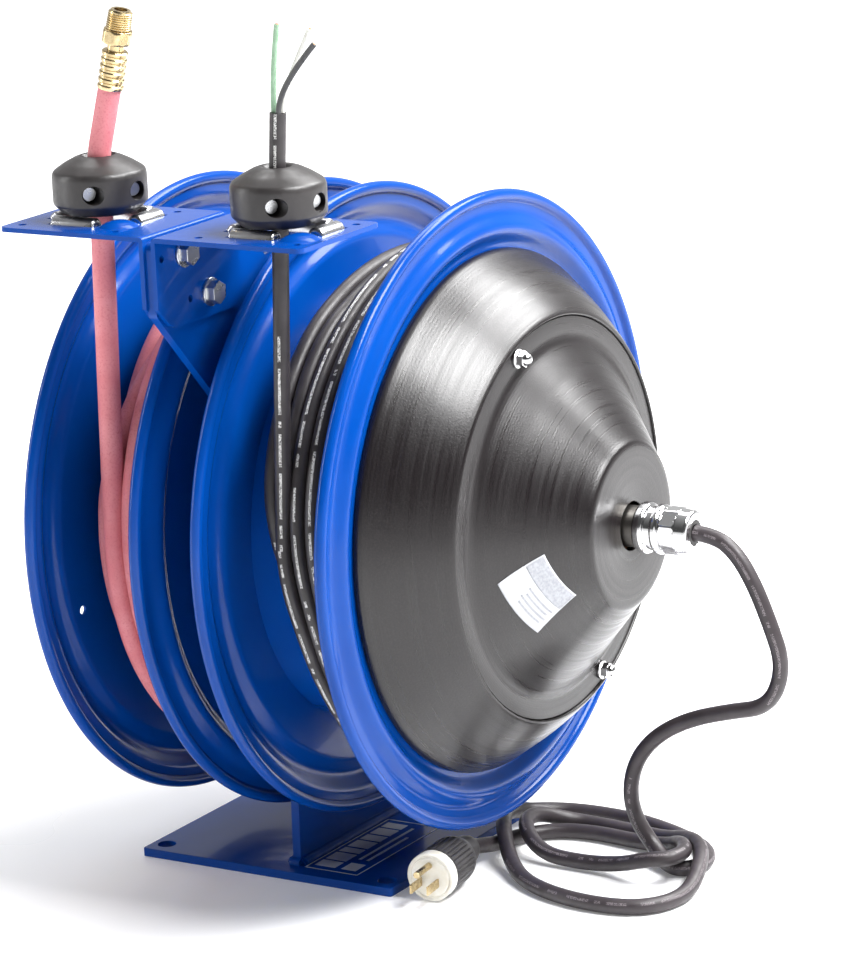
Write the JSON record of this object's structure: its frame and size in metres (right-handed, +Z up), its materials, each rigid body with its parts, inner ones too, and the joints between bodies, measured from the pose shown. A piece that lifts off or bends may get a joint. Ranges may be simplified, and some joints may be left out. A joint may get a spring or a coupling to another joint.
{
  "type": "dual hose and cord reel",
  "caption": "Spring-rewind air hose reel and power cord reel back to back on one post, with roller guides, stoppers and a corded inlet.",
  "frame": {"origin": "centre of the base plate's bottom face, which is the centre of its four mounting holes", "axes": "+Z up, +X along the reel axle from the hose reel towards the cord reel and its inlet grip, -Y to the front, where hose and cord rise to their guides"},
  "size_m": [0.561, 0.4444, 0.6228],
  "materials": {
    "blue_paint": "glossy blue powder coat",
    "black_powder_coat": "satin black wrinkle powder coat",
    "zinc_steel": "bright zinc plate",
    "axle_steel": "turned steel, lightly oiled",
    "roller_steel": "plated steel roller",
    "chrome": "bright nickel chrome",
    "bronze": "sintered bronze",
    "brass": "machined brass",
    "spring_steel": "blued spring steel",
    "red_hose": "dusty red rubber hose",
    "black_cord": "black rubber jacket",
    "black_rubber": "black rubber bushing",
    "stopper_plastic": "satin black moulded plastic",
    "insulator": "brown phenolic insulator",
    "wire_insulation": "PVC insulation in green, white and black",
    "plug_black": "black ribbed rubber plug body",
    "plug_ivory": "ivory nylon plug face",
    "label": "printed film label without lettering"
  },
  "bodies": {
    "root": {"base_plate": "blue_paint", "support_post": "blue_paint", "hose_guide_bracket": "blue_paint", "cord_guide_bracket": "blue_paint", "frame_fasteners": "zinc_steel", "hose_axle": "axle_steel", "cord_axle": "axle_steel", "air_inlet_fitting": "brass", "brush_holder": "insulator", "cord_grip_body": "chrome", "cord_grip_nut": "chrome", "cord_grip_bushing": "black_rubber", "roller_pins": "axle_steel", "input_cord": "black_cord", "plug_body": "plug_black", "plug_face": "plug_ivory", "plug_blades": "brass"},
    "hose_drum": {"hose_inner_flange": "blue_paint", "hose_outer_flange": "blue_paint", "hose_barrel": "blue_paint", "hose_hubs": "zinc_steel", "hose_bushings": "bronze", "hose_drum_bolts": "zinc_steel", "hose_spring_case": "black_powder_coat", "hose_power_spring": "spring_steel", "swivel_manifold": "brass", "wound_hose": "red_hose"},
    "cord_drum": {"cord_inner_flange": "blue_paint", "cord_outer_flange": "blue_paint", "cord_barrel": "blue_paint", "cord_hubs": "zinc_steel", "cord_bushings": "bronze", "cord_drum_bolts": "zinc_steel", "cord_spring_case": "black_powder_coat", "cord_power_spring": "spring_steel", "slip_ring_rotor": "insulator", "slip_rings": "brass", "slip_ring_cover": "black_powder_coat", "cover_nuts": "chrome", "wound_cord": "black_cord"},
    "hose_end": {"hose_run": "red_hose", "hose_tail": "red_hose", "hose_end_fitting": "brass", "hose_stopper": "stopper_plastic", "hose_stopper_screws": "zinc_steel"},
    "cord_end": {"cord_run": "black_cord", "cord_tail": "black_cord", "conductors": "wire_insulation", "cord_stopper": "stopper_plastic", "cord_stopper_screws": "zinc_steel"},
    "hose_roller_front": {"hose_roller_front": "roller_steel"},
    "hose_roller_back": {"hose_roller_back": "roller_steel"},
    "hose_roller_left": {"hose_roller_left": "roller_steel"},
    "hose_roller_right": {"hose_roller_right": "roller_steel"},
    "cord_roller_front": {"cord_roller_front": "roller_steel"},
    "cord_roller_back": {"cord_roller_back": "roller_steel"},
    "cord_roller_left": {"cord_roller_left": "roller_steel"},
    "cord_roller_right": {"cord_roller_right": "roller_steel"},
    "hose_pawl": {"hose_pawl": "zinc_steel"},
    "cord_pawl": {"cord_pawl": "zinc_steel"}
  },
  "joints": [
    {"name": "hose_drum_turn", "type": "hinge", "parent": "root", "child": "hose_drum", "pos_m": [-0.0519, 0, 0.255], "axis": [-1, 0, 0], "range_deg": [0, 360], "stiffness_Nm_per_rad": 0.6, "springref_deg": -171.89},
    {"name": "hose_pull", "type": "slide", "parent": "root", "child": "hose_end", "axis": [0, 0, 1], "range_m": [0, 1.13], "deforming": ["hose_run"]},
    {"name": "cord_drum_turn", "type": "hinge", "parent": "root", "child": "cord_drum", "pos_m": [0.0894, 0, 0.255], "axis": [-1, 0, 0], "range_deg": [0, 360], "stiffness_Nm_per_rad": 0.6, "springref_deg": -171.89},
    {"name": "cord_pull", "type": "slide", "parent": "root", "child": "cord_end", "axis": [0, 0, 1], "range_m": [0, 1.18], "deforming": ["cord_run"]},
    {"name": "hose_roller_front_spin", "type": "hinge", "parent": "root", "child": "hose_roller_front", "pos_m": [-0.0585, -0.192, 0.4784], "axis": [1, 0, 0], "continuous": true},
    {"name": "hose_roller_back_spin", "type": "hinge", "parent": "root", "child": "hose_roller_back", "pos_m": [-0.052, -0.143, 0.4784], "axis": [1, 0, 0], "continuous": true},
    {"name": "hose_roller_left_spin", "type": "hinge", "parent": "root", "child": "hose_roller_left", "pos_m": [-0.082, -0.166, 0.4784], "axis": [0, 1, 0], "continuous": true},
    {"name": "hose_roller_right_spin", "type": "hinge", "parent": "root", "child": "hose_roller_right", "pos_m": [-0.024, -0.16, 0.4784], "axis": [0, 1, 0], "continuous": true},
    {"name": "cord_roller_front_spin", "type": "hinge", "parent": "root", "child": "cord_roller_front", "pos_m": [0.084, -0.192, 0.4784], "axis": [1, 0, 0], "continuous": true},
    {"name": "cord_roller_back_spin", "type": "hinge", "parent": "root", "child": "cord_roller_back", "pos_m": [0.0905, -0.143, 0.4784], "axis": [1, 0, 0], "continuous": true},
    {"name": "cord_roller_left_spin", "type": "hinge", "parent": "root", "child": "cord_roller_left", "pos_m": [0.0605, -0.166, 0.4784], "axis": [0, 1, 0], "continuous": true},
    {"name": "cord_roller_right_spin", "type": "hinge", "parent": "root", "child": "cord_roller_right", "pos_m": [0.1185, -0.16, 0.4784], "axis": [0, 1, 0], "continuous": true},
    {"name": "hose_pawl_turn", "type": "hinge", "parent": "root", "child": "hose_pawl", "pos_m": [-0.00175, -0.066, 0.269], "axis": [-1, 0, 0], "range_deg": [0, 45], "stiffness_Nm_per_rad": 0.05, "springref_deg": -20.05},
    {"name": "cord_pawl_turn", "type": "hinge", "parent": "root", "child": "cord_pawl", "pos_m": [0.0338, -0.066, 0.269], "axis": [-1, 0, 0], "range_deg": [0, 45], "stiffness_Nm_per_rad": 0.05, "springref_deg": -20.05}
  ],
  "couplings": [
    {"joint": "hose_pull", "follows": "hose_drum_turn", "m_per_rad": 0.179},
    {"joint": "cord_pull", "follows": "cord_drum_turn", "m_per_rad": 0.187}
  ]
}
